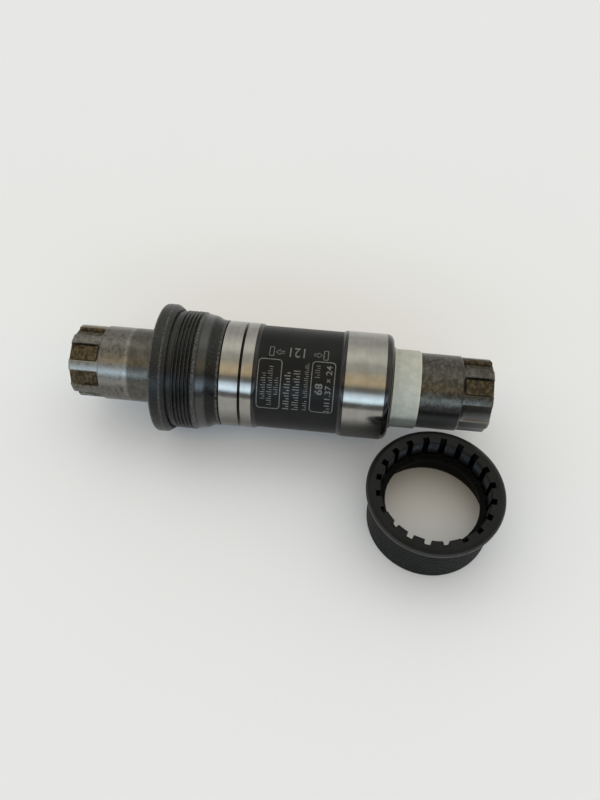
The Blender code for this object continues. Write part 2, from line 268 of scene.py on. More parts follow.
def spline_angles():
    """Columns close together at the walls of the spline grooves and wider elsewhere."""
    half = np.array([0.0, 4.0, 7.5, 9.0, 10.0, 10.8, 11.5, 12.1, 12.7, 13.3, 13.9, 14.4, 14.8, 15.2,
                     16.0, 18.0, 20.2])
    one = np.concatenate([-half[:0:-1], half, [22.5]])
    pitch = 360 / SPLINE_COUNT
    centres = pitch / 2 + pitch * np.arange(SPLINE_COUNT)
    return np.radians((centres[:, None] + one[None, :]).ravel())


def spindle_relief(station, radius, angle):
    pitch = 2 * math.pi / SPLINE_COUNT
    across = angle % pitch - pitch / 2
    from_end = np.minimum(station, SPINDLE_LENGTH - station)
    side = np.abs(across) * SPLINE_RADIUS - GROOVE_HALF_WIDTH + GROOVE_CORNER
    end = from_end - SPLINE_LENGTH + GROOVE_CORNER
    distance = (np.hypot(np.maximum(side, 0), np.maximum(end, 0))
                + np.minimum(np.maximum(side, end), 0) - GROOVE_CORNER)
    depth = smooth_step(-distance, 0.0, GROOVE_WALL)
    floor = SPLINE_FLOOR / np.cos(across)
    outside = radius > SPLINE_FLOOR + 0.1
    grooved = radius - depth * np.maximum(radius - floor, 0)
    inside_thread = (radius < BOLT_THREAD_RADIUS + 0.01) & (radius > BORE_RADIUS + 0.1)
    fade = smooth_step(from_end, 0.6, 1.6) * (1 - smooth_step(from_end, BOLT_THREAD_SHOWN - 1.0,
                                                             BOLT_THREAD_SHOWN))
    hand = station / BOLT_PITCH - angle / (2 * math.pi)
    threaded = radius + BOLT_THREAD_HEIGHT * (1 - thread_wave(hand)) * fade
    return np.where(outside, grooved, np.where(inside_thread, threaded, radius))


def spindle_spacing(station, radius):
    from_end = min(station, SPINDLE_LENGTH - station)
    if radius > SPLINE_FLOOR:
        if 7.0 < from_end < 9.2:
            return 0.11
        return 0.9 if from_end < 7.0 else 5.0
    if radius < 8.0 and from_end < BOLT_THREAD_SHOWN:
        return 0.2
    return 8.0


def make_spindle(finish):
    far_spline = SPINDLE_LENGTH - SPLINE_LENGTH
    step = SPINDLE_RADIUS - SPLINE_RADIUS
    mouth = BOLT_THREAD_RADIUS + 0.9
    outline = [
        (0.0, SPLINE_RADIUS - 0.6),
        (0.6, SPLINE_RADIUS),
        (SPLINE_LENGTH, SPLINE_RADIUS),
        (SPLINE_LENGTH + step, SPINDLE_RADIUS),
        *groove_outline(DRIVE_ROW, SPINDLE_GROOVE_ARC, SPINDLE_RADIUS, outward=False),
        *groove_outline(LEFT_ROW, SPINDLE_GROOVE_ARC, SPINDLE_RADIUS, outward=False),
        (far_spline - step, SPINDLE_RADIUS),
        (far_spline, SPLINE_RADIUS),
        (SPINDLE_LENGTH - 0.6, SPLINE_RADIUS),
        (SPINDLE_LENGTH, SPLINE_RADIUS - 0.6),
        (SPINDLE_LENGTH, mouth),
        (SPINDLE_LENGTH - 0.9, BOLT_THREAD_RADIUS),
        (SPINDLE_LENGTH - BOLT_THREAD_DEPTH, BOLT_THREAD_RADIUS),
        (SPINDLE_LENGTH - BOLT_THREAD_DEPTH - 0.6, BORE_RADIUS),
        (BOLT_THREAD_DEPTH + 0.6, BORE_RADIUS),
        (BOLT_THREAD_DEPTH, BOLT_THREAD_RADIUS),
        (0.9, BOLT_THREAD_RADIUS),
        (0.0, mouth),
    ]
    fine = divided(softened(outline, 0.15), spindle_spacing)
    spindle = shell("spindle_body", fine, spline_angles(), lying, finish, spindle_relief, 50)
    belongs(spindle, "spindle", "spindle_steel", "spindle")


# ---------------------------------------------------------------- cups

def slot_angles(turn):
    """Columns on both edges of every tool slot, with a few between."""
    mouth = math.degrees(math.asin(SLOT_WIDTH / 2 / LAND_RADIUS))
    root = math.degrees(math.asin(SLOT_WIDTH / 2 / SLOT_RADIUS))
    half = np.array([0.0, 1.6, root - 0.25, root, mouth, mouth + 0.35, 4.8, 6.2, 7.6])
    one = np.concatenate([-half[:0:-1], half, [9.0]])
    centres = turn + 360 / SLOT_COUNT * np.arange(SLOT_COUNT)
    return np.radians((centres[:, None] + one[None, :]).ravel())


def slotted(radius, angle, turn, cut):
    """Opens the bore out to the slots' radius where an angle is in a slot and cut is true."""
    pitch = 2 * math.pi / SLOT_COUNT
    across = np.abs((angle - math.radians(turn) + pitch / 2) % pitch - pitch / 2)
    root = math.asin(SLOT_WIDTH / 2 / SLOT_RADIUS)
    mouth = math.asin(SLOT_WIDTH / 2 / LAND_RADIUS)
    share = 1 - smooth_step(across, root, mouth)
    return np.where(cut & (radius < SLOT_RADIUS), radius + share * (SLOT_RADIUS - radius), radius)


def fixed_cup_relief(station, radius, angle):
    thread = (radius > 16.6) & (station > 30.2)
    fade = smooth_step(station, 31.0, 31.9) * (1 - smooth_step(station, 36.6, 38.0))
    wave = thread_wave(station / CUP_PITCH + angle / (2 * math.pi))
    cut = radius - THREAD_HEIGHT * wave * fade
    in_recess = (station < FIXED_SLOT_END) & (radius < SLOT_RADIUS)
    return np.where(thread, cut, slotted(radius, angle, 0.0, in_recess))


def fixed_cup_spacing(station, radius):
    if radius > 16.6 and 30.4 < station < 38.4:
        return 0.12
    return 1.5


def make_fixed_cup(finish):
    outline = [
        (FLANGE_OUTER_FACE, 18.1),
        (25.62, 18.6),
        (26.1, FLANGE_RADIUS),
        (28.5, FLANGE_RADIUS),
        (28.9, 18.7),
        (FLANGE_SEAT, 17.95),
        (FLANGE_SEAT, 17.45),
        (29.6, 17.05),
        (31.2, 17.05),
        (31.6, THREAD_RADIUS),
        (37.3, THREAD_RADIUS),
        (37.9, 16.98),
        (40.5, 16.58),
        (41.2, 16.3),
        (41.9, 15.88),
        (42.7, 15.6),
        (FIXED_CUP_END, 15.53),
        (FIXED_CUP_END, FIXED_CUP_BORE),
        (33.9, FIXED_CUP_BORE),
        (33.9, 13.1),
        (32.7, 13.1),
        (32.7, LAND_RADIUS),
        (FIXED_SLOT_END + 0.01, LAND_RADIUS),
        (FIXED_SLOT_END - 0.01, LAND_RADIUS),
        (25.8, LAND_RADIUS),
        (FLANGE_OUTER_FACE, LAND_RADIUS + 0.4),
    ]
    fine = divided(softened(outline, 0.2), fixed_cup_spacing)
    cup = shell("fixed_cup_body", fine, slot_angles(0.0), lying, finish, fixed_cup_relief)
    belongs(cup, "cartridge", "black_cup", "fixed_cup")


def left_cup_relief(height, radius, angle):
    thread = (radius > 16.7) & (height < 16.1)
    fade = smooth_step(height, 0.3, 1.1) * (1 - smooth_step(height, 14.6, 15.6))
    wave = thread_wave(height / CUP_PITCH - angle / (2 * math.pi))
    cut = radius - CUP_THREAD_HEIGHT * wave * fade
    in_recess = (height > CUP_SLOT_FLOOR) & (radius < SLOT_RADIUS)
    return np.where(thread, cut, slotted(radius, angle, CUP_TURN, in_recess))


def left_cup_spacing(height, radius):
    if radius > 16.7 and height < 16.0:
        return CUP_PITCH / 12
    return 1.5


def make_left_cup(finish):
    outline = [
        (0.0, 16.95),
        (0.45, THREAD_RADIUS),
        (15.9, THREAD_RADIUS),
        (16.3, 17.5),
        (16.3, 18.5),
        (16.6, 18.8),
        (17.0, 18.85),
        (17.35, 18.85),
        (17.72, 18.5),
        (CUP_TOP, 17.5),
        (CUP_TOP, LAND_RADIUS + 0.3),
        (CUP_TOP - 0.3, LAND_RADIUS),
        (CUP_SLOT_FLOOR + 0.4, LAND_RADIUS),
        (CUP_SLOT_FLOOR + 0.12, LAND_RADIUS - 0.12),
        (CUP_SLOT_FLOOR - 0.05, LAND_RADIUS - 0.4),
        (11.05, 13.1),
        (10.4, 13.1),
        (10.4, 15.7),
        (2.0, 15.7),
        (0.0, 16.6),
    ]
    fine = divided(softened(outline, 0.15), left_cup_spacing)
    cup = shell("left_cup_body", fine, slot_angles(CUP_TURN), standing, finish, left_cup_relief)
    belongs(cup, "left_cup", "black_cup", "left_cup")


# ---------------------------------------------------------------- cartridge

def make_races(steel, shoulder_finish):
    groove_floor = BODY_RADIUS - BAND_GROOVE_DEPTH
    drive_socket = DRIVE_RACE_END - SPIGOT_LENGTH
    left_socket = LEFT_RACE_START + SPIGOT_LENGTH
    band_end = LEFT_BAND_END - 0.02
    race_end = BODY_END - 0.2
    drive = [
        (DRIVE_RACE_START, 14.13), (DRIVE_BAND_START, 14.13), (DRIVE_BAND_START, BODY_RADIUS),
        (BAND_GROOVE_START, BODY_RADIUS), (BAND_GROOVE_START, groove_floor),
        (BAND_GROOVE_END, groove_floor), (BAND_GROOVE_END, BODY_RADIUS),
        (DRIVE_RACE_END, BODY_RADIUS), (DRIVE_RACE_END, SOCKET_RADIUS),
        (drive_socket, SOCKET_RADIUS), (drive_socket, RACE_BORE),
        *reversed(groove_outline(DRIVE_ROW, RACE_GROOVE_ARC, RACE_BORE, outward=True)),
        (DRIVE_RACE_START, RACE_BORE),
    ]
    left = [
        (LEFT_RACE_START, BODY_RADIUS), (band_end, BODY_RADIUS), (band_end, 13.92),
        (race_end, 13.92), (race_end, RACE_BORE),
        *reversed(groove_outline(LEFT_ROW, RACE_GROOVE_ARC, RACE_BORE, outward=True)),
        (left_socket, RACE_BORE), (left_socket, SOCKET_RADIUS), (LEFT_RACE_START, SOCKET_RADIUS),
    ]
    shoulder = [
        (LEFT_BAND_END, BODY_RADIUS - 0.01), (91.1, 15.40), (91.6, 15.2), (92.05, 14.85),
        (92.38, 14.38), (92.56, 13.9), (BODY_END, 13.6), (BODY_END, RACE_BORE),
        (92.44, RACE_BORE), (92.44, 13.98), (LEFT_BAND_END, 13.98),
    ]
    belongs(turned("drive_race", drive, steel, 0.06), "cartridge", "ground_steel",
            "drive_outer_race")
    belongs(turned("left_race", left, steel, 0.06), "cartridge", "ground_steel",
            "left_outer_race")
    belongs(turned("left_shoulder", shoulder, shoulder_finish, 0.04), "cartridge", "black_tube")


def make_tube(finish):
    lip = BODY_RADIUS - 0.04
    start = DRIVE_RACE_END + 0.02
    end = LEFT_RACE_START - 0.02
    outline = [
        (TUBE_SPIGOT_START, TUBE_SPIGOT_RADIUS), (start, TUBE_SPIGOT_RADIUS), (start, lip),
        (54.35, lip), (54.65, 15.3), (54.85, 15.06), (55.1, TUBE_RADIUS), (77.9, TUBE_RADIUS),
        (78.2, 15.06), (78.45, 15.3), (78.75, lip), (end, lip), (end, TUBE_SPIGOT_RADIUS),
        (TUBE_SPIGOT_END, TUBE_SPIGOT_RADIUS), (TUBE_SPIGOT_END, RACE_BORE),
        (TUBE_SPIGOT_START, RACE_BORE),
    ]
    belongs(turned("tube_body", outline, finish, 0.12), "cartridge", "black_tube", "centre_tube")


def make_seals(case_finish, lip_finish):
    case = [(0.0, 13.18), (3.0, 13.18), (3.0, 12.78), (0.5, 12.78), (0.5, 12.03), (0.0, 12.03)]
    lip = [(-0.3, 11.4), (0.8, 11.8), (0.8, 12.63), (2.7, 12.63), (2.7, 11.7), (1.4, 11.0),
           (-0.3, 11.0)]
    for outline, suffix, finish, slot in ((case, "seal_case", case_finish, "seal_case_steel"),
                                          (lip, "seal_lip", lip_finish, "seal_rubber")):
        drive = [(DRIVE_SEAL_FACE + s, r) for s, r in outline]
        left = flipped([(LEFT_SEAL_FACE + s, r) for s, r in outline], LEFT_SEAL_FACE)
        for side, profile in (("drive_", drive), ("left_", left)):
            ring = turned(side + suffix + "_ring", profile, finish, 0.12, INNER_COLUMNS)
            belongs(ring, "cartridge", slot, side + suffix)


def make_shields(finish):
    for side, station in (("drive", DRIVE_SHIELD), ("left", LEFT_SHIELD)):
        outline = [
            (station, 13.18), (station + 0.6, 13.18), (station + 0.6, 12.8), (station + 0.35, 12.6),
            (station + 0.35, 11.6), (station + 0.6, 11.4), (station + 0.6, 11.1),
            (station + 0.25, 11.1), (station, 11.5), (station, 12.7),
        ]
        ring = turned(side + "_shield_ring", outline, finish, 0.05, INNER_COLUMNS)
        belongs(ring, "cartridge", "seal_case_steel", side + "_inner_shield")


def make_sleeve(finish):
    outline = [
        (SLEEVE_START, 11.9), (93.28, 11.9), (93.4, 11.5), (93.6, 11.4), (100.1, 11.4),
        (100.45, 11.3), (SLEEVE_END, 11.15), (SLEEVE_END, SLEEVE_BORE), (SLEEVE_START, SLEEVE_BORE),
    ]
    belongs(turned("sleeve_body", outline, finish, 0.1), "spindle", "sleeve_plastic", "left_sleeve")


def make_balls(finish):
    bm = bmesh.new()
    low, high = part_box("drive_ball_01")
    bmesh.ops.create_uvsphere(bm, u_segments=32, v_segments=20, radius=(high.x - low.x) / 2)
    mesh = bpy.data.meshes.new("ball")
    bm.to_mesh(mesh)
    bm.free()
    mesh.shade_smooth()
    mesh.materials.append(finish)
    for side in ("drive", "left"):
        for number in range(1, BALL_COUNT + 1):
            node = f"{side}_ball_{number:02d}"
            low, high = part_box(node)
            ball = bpy.data.objects.new(node + "_fine", mesh)
            bpy.context.scene.collection.objects.link(ball)
            ball.location = (low + high) / 2
            belongs(ball, side + "_balls", "bearing_steel", node)


# ---------------------------------------------------------------- print on the tube

class Print:
    """Flat marks drawn on the tube in millimetres, across being the arc and along the station."""

    def __init__(self):
        self.bm = bmesh.new()

    def strip(self, points, width, closed=False):
        """A line of that width through (station, arc) points."""
        points = [Vector(p) for p in points]
        count = len(points)
        rails = []
        for index, point in enumerate(points):
            before = points[index - 1] if closed or index else point
            after = points[(index + 1) % count] if closed or index < count - 1 else point
            normal = (after - before).normalized().orthogonal() * width / 2
            rails.append([self.bm.verts.new((*(point + side * normal), 0)) for side in (1, -1)])
        for index in range(count if closed else count - 1):
            a, b = rails[index], rails[(index + 1) % count]
            self.bm.faces.new((a[0], a[1], b[1], b[0]))

    def frame(self, low, high, corner, width):
        """A rounded rectangle from corner low to corner high, both (station, arc)."""
        points = []
        for turn, (x, y) in enumerate(((high[0], high[1]), (low[0], high[1]),
                                       (low[0], low[1]), (high[0], low[1]))):
            inward = (-1 if x == high[0] else 1, -1 if y == high[1] else 1)
            centre = (x + inward[0] * corner, y + inward[1] * corner)
            for step in range(5):
                a = math.radians(90 * turn + 22.5 * step)
                points.append((centre[0] + corner * math.cos(a), centre[1] + corner * math.sin(a)))
        self.strip(points, width, closed=True)

    def block(self, low, high):
        """A filled rectangle."""
        middle = (low[0] + high[0]) / 2
        self.strip([(middle, low[1]), (middle, high[1])], high[0] - low[0])

    def numerals(self, text, corner, right, up, width, height, bold):
        """Numbers fitted to a width and height from a corner, along right and up unit vectors."""
        curve = bpy.data.curves.new("numerals", "FONT")
        curve.body = text
        curve.offset = bold
        curve.resolution_u = 3
        helper = bpy.data.objects.new("numerals", curve)
        bpy.context.scene.collection.objects.link(helper)
        bpy.context.view_layer.update()
        flat = bpy.data.meshes.new_from_object(
            helper.evaluated_get(bpy.context.evaluated_depsgraph_get()))
        bpy.data.objects.remove(helper)
        bpy.data.curves.remove(curve)
        low = Vector(min(v.co[i] for v in flat.vertices) for i in range(2))
        high = Vector(max(v.co[i] for v in flat.vertices) for i in range(2))
        size = high - low
        for vertex in flat.vertices:
            x = (vertex.co.x - low.x) / size.x * width
            y = (vertex.co.y - low.y) / size.y * height
            place = Vector(corner) + x * Vector(right) + y * Vector(up)
            vertex.co = (place.x, place.y, 0)
        self.bm.from_mesh(flat)
        bpy.data.meshes.remove(flat)

    def wrapped(self, name, finish, base, above, below):
        """The marks as one thin solid bent round the tube."""
        arcs = [v.co.y for v in self.bm.verts]
        for level in np.arange(min(arcs) + 0.25, max(arcs), 0.5):
            everything = [*self.bm.verts, *self.bm.edges, *self.bm.faces]
            bmesh.ops.bisect_plane(self.bm, geom=everything, plane_co=(0.0, level, 0.0),
                                   plane_no=(0.0, 1.0, 0.0))
        bmesh.ops.triangulate(self.bm, faces=self.bm.faces)
        bmesh.ops.dissolve_degenerate(self.bm, dist=0.0005, edges=self.bm.edges)
        bmesh.ops.recalc_face_normals(self.bm, faces=self.bm.faces)
        for face in list(self.bm.faces):
            if face.normal.z < 0:
                face.normal_flip()
        bottom = bmesh.ops.extrude_face_region(self.bm, geom=list(self.bm.faces))
        lifted = {v for v in bottom["geom"] if isinstance(v, bmesh.types.BMVert)}
        for vertex in self.bm.verts:
            radius = base + (above if vertex in lifted else -below)
            angle = vertex.co.y / base
            vertex.co = lying(vertex.co.x, radius, angle)
        bmesh.ops.recalc_face_normals(self.bm, faces=self.bm.faces)
        mesh = bpy.data.meshes.new(name)
        self.bm.to_mesh(mesh)
        self.bm.free()
        return finished_object(name, mesh, finish)


def arc(degrees):
    """Millimetres round the tube from +Y to an angle."""
    return math.radians(degrees) * TUBE_RADIUS


TICK_HEIGHTS = (1.0, 0.55, 1.0, 1.0, 0.55, 0.8)


def ticks(marks, station, tall, start, end, count, stroke):
    """A row of plain ruler ticks in place of words, from angle start down to angle end."""
    first, last = arc(start), arc(end)
    for index in range(count):
        place = first + (last - first) * index / (count - 1)
        height = tall * TICK_HEIGHTS[index % len(TICK_HEIGHTS)]
        marks.block((station - height, place - stroke / 2), (station, place + stroke / 2))


def arrow(marks, tip, tail, middle, half):
    """An open arrow along the station, at an angle in degrees, its head at tip."""
    centre = arc(middle)
    neck = tip + (tail - tip) * 0.5
    points = [(tail, centre - half * 0.4), (neck, centre - half * 0.4), (neck, centre - half),
              (tip, centre), (neck, centre + half), (neck, centre + half * 0.4),
              (tail, centre + half * 0.4)]
    marks.strip(points, 0.2, closed=True)


def make_print(finish):
    marks = Print()
    for low, high, top, bottom in ((55.35, 61.8, 106.5, 161.5), (70.25, 76.6, 105.0, 161.0)):
        marks.frame((low, arc(top)), (high, arc(bottom)), 1.0, 0.24)
    ticks(marks, 57.6, 1.3, 150.0, 122.4, 12, 0.2)
    ticks(marks, 59.5, 1.35, 156.8, 114.6, 18, 0.2)
    ticks(marks, 61.15, 1.1, 144.0, 126.4, 8, 0.2)
    ticks(marks, 64.4, 1.65, 160.4, 120.0, 14, 0.32)
    ticks(marks, 67.05, 1.8, 160.2, 117.4, 16, 0.26)
    ticks(marks, 69.4, 1.15, 159.6, 149.1, 5, 0.2)
    ticks(marks, 69.4, 1.15, 144.4, 108.5, 17, 0.18)
    ticks(marks, 72.5, 1.4, 122.0, 109.8, 6, 0.16)
    ticks(marks, 75.8, 1.6, 159.1, 149.0, 4, 0.28)
    forward, upright = (0.0, -1.0), (-1.0, 0.0)
    degree = arc(1.0)
    marks.numerals("68", (73.5, arc(140.6)), forward, upright, 12.2 * degree, 2.2, 0.02)
    marks.numerals("1.37", (75.8, arc(145.2)), forward, upright, 15.2 * degree, 1.65, 0.012)
    marks.numerals("24", (75.8, arc(119.0)), forward, upright, 10.2 * degree, 1.65, 0.012)
    for slope in (-1, 1):
        middle = (75.0, arc(124.6))
        marks.strip([(middle[0] - 0.45, middle[1] - slope * 0.45),
                     (middle[0] + 0.45, middle[1] + slope * 0.45)], 0.22)
    marks.numerals("121", (67.8, arc(91.0)), (-1.0, 0.0), (0.0, 1.0), 4.2, 11.5 * degree, 0.0)
    arrow(marks, 59.8, 62.1, 97.6, 0.85)
    arrow(marks, 72.7, 70.4, 97.4, 0.85)
    marks.frame((58.0, arc(91.5)), (59.2, arc(102.5)), 0.3, 0.2)
    marks.frame((73.1, arc(91.5)), (74.3, arc(102.5)), 0.3, 0.2)
    printed = marks.wrapped("tube_print", finish, TUBE_RADIUS, 0.012, 0.03)
    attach(printed, "cartridge")


# ---------------------------------------------------------------- finishes

class Finish:
    """One procedural material, with its coordinates in millimetres from a part's own centre."""

    def __init__(self, name, centre, roughness, metallic, specular=0.5):
        self.material = bpy.data.materials.new(name)
        self.material.use_nodes = True
        self.tree = self.material.node_tree
        self.shader = self.tree.nodes["Principled BSDF"]
        self.shader.inputs["Roughness"].default_value = roughness
        self.shader.inputs["Metallic"].default_value = metallic
        self.shader.inputs["Specular IOR Level"].default_value = specular
        coordinates = self.tree.nodes.new("ShaderNodeTexCoord")
        moved = self.vector("SUBTRACT", coordinates.outputs["Object"], tuple(centre))
        self.point = self.vector("MULTIPLY", moved, (1000.0, 1000.0, 1000.0))
        split = self.tree.nodes.new("ShaderNodeSeparateXYZ")
        self.tree.links.new(self.point, split.inputs[0])
        self.x, self.y, self.z = split.outputs

    def put(self, socket, value):
        if isinstance(value, bpy.types.NodeSocket):
            self.tree.links.new(value, socket)
        else:
            socket.default_value = value

    def vector(self, operation, a, b):
        node = self.tree.nodes.new("ShaderNodeVectorMath")
        node.operation = operation
        self.put(node.inputs[0], a)
        self.put(node.inputs[1], b)
        return node.outputs["Vector"]

    def calc(self, operation, *values, clamp=False):
        node = self.tree.nodes.new("ShaderNodeMath")
        node.operation = operation
        node.use_clamp = clamp
        for socket, value in zip(node.inputs, values):
            self.put(socket, value)
        return node.outputs[0]

    def length(self, a, b):
        return self.calc("SQRT", self.calc("ADD", self.calc("MULTIPLY", a, a),
                                           self.calc("MULTIPLY", b, b)))

    def ramped(self, value, low, high):
        """0 where value is at low, 1 at high, smooth between; low may be the larger."""
        node = self.tree.nodes.new("ShaderNodeMapRange")
        node.interpolation_type = "SMOOTHSTEP"
        flip = low > high
        for name, number in (("From Min", min(low, high)), ("From Max", max(low, high)),
                             ("To Min", 1.0 if flip else 0.0), ("To Max", 0.0 if flip else 1.0)):
            node.inputs[name].default_value = number
        self.put(node.inputs["Value"], value)
        return node.outputs[0]

    def within(self, value, low, high, soft):
        """1 where value is between low and high, fading over soft on both sides."""
        return self.calc("MULTIPLY", self.ramped(value, low - soft, low + soft),
                         self.ramped(value, high + soft, high - soft))

    def noise(self, scale, detail=3.0, roughness=0.5, shift=0.0, distortion=0.0):
        """Noise with (x, y, z) cycles a millimetre, moved by shift so that no two are alike."""
        node = self.tree.nodes.new("ShaderNodeTexNoise")
        node.inputs["Scale"].default_value = 1.0
        node.inputs["Detail"].default_value = detail
        node.inputs["Roughness"].default_value = roughness
        node.inputs["Distortion"].default_value = distortion
        stretched = self.vector("MULTIPLY", self.point, scale)
        self.put(node.inputs["Vector"], self.vector("ADD", stretched, (shift, shift, shift)))
        return node.outputs["Fac"]

    def mix(self, share, a, b):
        node = self.tree.nodes.new("ShaderNodeMix")
        node.data_type = "RGBA"
        self.put(node.inputs["Factor"], share)
        self.put(node.inputs["A"], (*a, 1.0) if isinstance(a, tuple) else a)
        self.put(node.inputs["B"], (*b, 1.0) if isinstance(b, tuple) else b)
        return node.outputs["Result"]

    def blend(self, share, a, b):
        node = self.tree.nodes.new("ShaderNodeMix")
        node.data_type = "FLOAT"
        self.put(node.inputs["Factor"], share)
        self.put(node.inputs["A"], a)
        self.put(node.inputs["B"], b)
        return node.outputs["Result"]

    def colour(self, value):
        self.put(self.shader.inputs["Base Color"], (*value, 1.0) if isinstance(value, tuple) else value)

    def roughness(self, value):
        self.put(self.shader.inputs["Roughness"], value)

    def specular(self, value):
        self.put(self.shader.inputs["Specular IOR Level"], value)

    def any_of(self, *masks):
        """The strongest of several masks."""
        strongest = masks[0]
        for mask in masks[1:]:
            strongest = self.calc("MAXIMUM", strongest, mask)
        return strongest

    def share(self, mask, strength):
        return self.calc("MULTIPLY", mask, strength)

    def bump(self, height, depth, strength=1.0):
        """Adds a bump of that depth in millimetres; several can follow each other."""
        node = self.tree.nodes.new("ShaderNodeBump")
        node.inputs["Strength"].default_value = strength
        node.inputs["Distance"].default_value = depth * MM
        self.put(node.inputs["Height"], height)
        link = self.shader.inputs["Normal"].links
        if link:
            self.tree.links.new(link[0].from_socket, node.inputs["Normal"])
        self.tree.links.new(node.outputs["Normal"], self.shader.inputs["Normal"])


def spindle_finish():
    """Turned steel with wear, grime in the splines, and dirt past the sleeve.

    Three masks stand for light and not for dirt: front lightens the drive end at the height where
    the window shines at rest, a painted shade darkens the left end below 7 mm above the axis, and
    under lightens the left end's underside. All three turn with it.
    """
    f = Finish("spindle_steel", SPINDLE_START, 0.32, 1.0)
    radius = f.length(f.y, f.z)
    turning = f.noise((14.0, 0.12, 0.12), 4.0, 0.65, 3.1)
    fine_turning = f.noise((45.0, 0.4, 0.4), 2.0, 0.6, 8.4)
    patches = f.noise((0.35, 0.35, 0.35), 5.0, 0.65, 12.7)
    mottle = f.noise((1.1, 0.8, 0.8), 3.0, 0.6, 44.0)
    scratches = f.noise((0.7, 9.0, 9.0), 3.0, 0.7, 5.5)
    specks = f.noise((5.5, 5.5, 5.5), 2.0, 0.5, 21.3)
    base = f.mix(f.ramped(patches, 0.35, 0.7), (0.080, 0.076, 0.066), (0.125, 0.119, 0.106))
    base = f.mix(f.share(f.ramped(turning, 0.5, 0.75), 0.45), base, (0.20, 0.19, 0.17))
    base = f.mix(f.share(f.ramped(mottle, 0.55, 0.36), 0.25), base, (0.030, 0.027, 0.022))
    worn = f.share(f.ramped(f.x, 17.2, 16.2), f.ramped(mottle, 0.32, 0.6))
    base = f.mix(f.share(worn, 0.55), base, (0.185, 0.175, 0.158))
    front = f.share(f.ramped(f.x, 17.6, 16.8), f.within(f.z, 3.5, 9.2, 1.2))
    base = f.mix(f.share(front, 0.5), base, (0.34, 0.33, 0.31))
    ring = f.share(f.within(f.x, 16.2, 17.2, 0.5), f.ramped(scratches, 0.42, 0.62))
    base = f.mix(f.share(ring, 0.7), base, (0.34, 0.33, 0.31))
    from_middle = f.calc("ABSOLUTE", f.calc("SUBTRACT", f.x, SPINDLE_LENGTH / 2))
    in_spline = f.ramped(from_middle, 51.9, 52.3)
    low = f.share(in_spline, f.ramped(radius, 10.35, 9.9))
    grime = f.mix(f.ramped(mottle, 0.38, 0.62), (0.040, 0.032, 0.019), (0.105, 0.085, 0.055))
    base = f.mix(low, base, grime)
    right = f.ramped(f.x, 100.0, 101.0)
    dirt = f.share(right, f.ramped(mottle, 0.68, 0.42))
    base = f.mix(f.share(dirt, 0.6), base, (0.040, 0.036, 0.029))
    # Painted shade: the left end past the sleeve is darker below 7 mm above the axis.
    shade_past_sleeve = f.share(right, f.ramped(f.z, 7.0, 4.2))
    base = f.mix(f.share(shade_past_sleeve, 0.75), base, (0.040, 0.039, 0.039))
    under = f.share(right, f.ramped(f.z, 4.2, 1.5))
    base = f.mix(f.share(under, 0.85), base, (0.21, 0.20, 0.19))
    glint = f.share(f.ramped(specks, 0.72, 0.78), f.any_of(right, in_spline))
    base = f.mix(f.share(glint, 0.8), base, (0.5, 0.49, 0.46))
    f.colour(base)
    rough = f.blend(f.ramped(mottle, 0.35, 0.65), 0.25, 0.34)
    f.roughness(f.blend(under, f.blend(low, rough, 0.30), 0.50))
    f.bump(turning, 0.012)
    f.bump(fine_turning, 0.004)
    f.bump(scratches, 0.006)
    f.bump(mottle, 0.015, 0.6)
    f.bump(specks, 0.012, 0.6)
    return f.material


def ground_finish():
    """Ground steel with painted shade: darker low down on every race and darker still on the left one."""
    f = Finish("ground_steel", SPINDLE_START, 0.12, 1.0)
    grain = f.noise((30.0, 0.25, 0.25), 4.0, 0.6, 1.7)
    broad = f.noise((1.2, 0.08, 0.08), 3.0, 0.5, 6.0)
    cloud = f.noise((0.3, 0.3, 0.3), 3.0, 0.55, 9.9)
    pits = f.noise((4.0, 3.0, 3.0), 3.0, 0.6, 4.4)
    base = f.mix(f.ramped(cloud, 0.3, 0.7), (0.285, 0.275, 0.252), (0.335, 0.325, 0.30))
    base = f.mix(f.share(f.ramped(broad, 0.45, 0.7), 0.3), base, (0.235, 0.225, 0.205))
    base = f.mix(f.share(f.ramped(pits, 0.68, 0.76), 0.5), base, (0.12, 0.11, 0.10))
    left = f.ramped(f.x, 70.0, 75.0)
    # Painted shade: every race is darker low down.
    base = f.mix(f.share(f.ramped(f.z, 4.5, -3.0), 0.75), base, (0.12, 0.115, 0.105))
    # Painted shade: the left race is darker still low down; its steel is also rougher there.
    left_low_shade = f.share(left, f.ramped(f.z, 5.5, 0.0))
    base = f.mix(f.share(left_low_shade, 0.9), base, (0.060, 0.057, 0.052))
    radius = f.length(f.y, f.z)
    base = f.mix(f.ramped(radius, 15.36, 15.15), base, (0.012, 0.011, 0.010))
    f.colour(base)
    f.roughness(f.blend(left_low_shade, f.blend(f.ramped(cloud, 0.3, 0.7), 0.10, 0.15), 0.46))
    f.bump(grain, 0.003)
    f.bump(pits, 0.012, 0.6)
    return f.material


def tube_finish():
    """Black paint, duller in the middle and glossy on both lips."""
    f = Finish("black_tube", SPINDLE_START, 0.4, 0.0, 0.2)
    peel = f.noise((2.6, 2.6, 2.6), 3.0, 0.6, 7.0)
    dust = f.noise((3.4, 3.4, 3.4), 4.0, 0.7, 15.0)
    cloud = f.noise((0.15, 0.15, 0.15), 3.0, 0.5, 3.0)
    specks = f.noise((4.6, 4.6, 4.6), 2.0, 0.5, 29.0)
    from_middle = f.calc("ABSOLUTE", f.calc("SUBTRACT", f.x, 66.5))
    edge = f.ramped(from_middle, 11.4, 11.8)
    base = f.mix(f.ramped(cloud, 0.3, 0.7), (0.0035, 0.0035, 0.0038), (0.0070, 0.0070, 0.0070))
    base = f.mix(f.share(f.ramped(dust, 0.60, 0.72), 0.20), base, (0.06, 0.06, 0.056))
    base = f.mix(f.share(f.ramped(specks, 0.76, 0.80), 0.6), base, (0.30, 0.30, 0.28))
    f.colour(base)
    f.specular(f.blend(edge, 0.17, 0.42))
    f.roughness(f.blend(edge, f.blend(f.ramped(dust, 0.4, 0.7), 0.33, 0.48), 0.12))
    f.bump(peel, 0.012, 0.6)
    return f.material


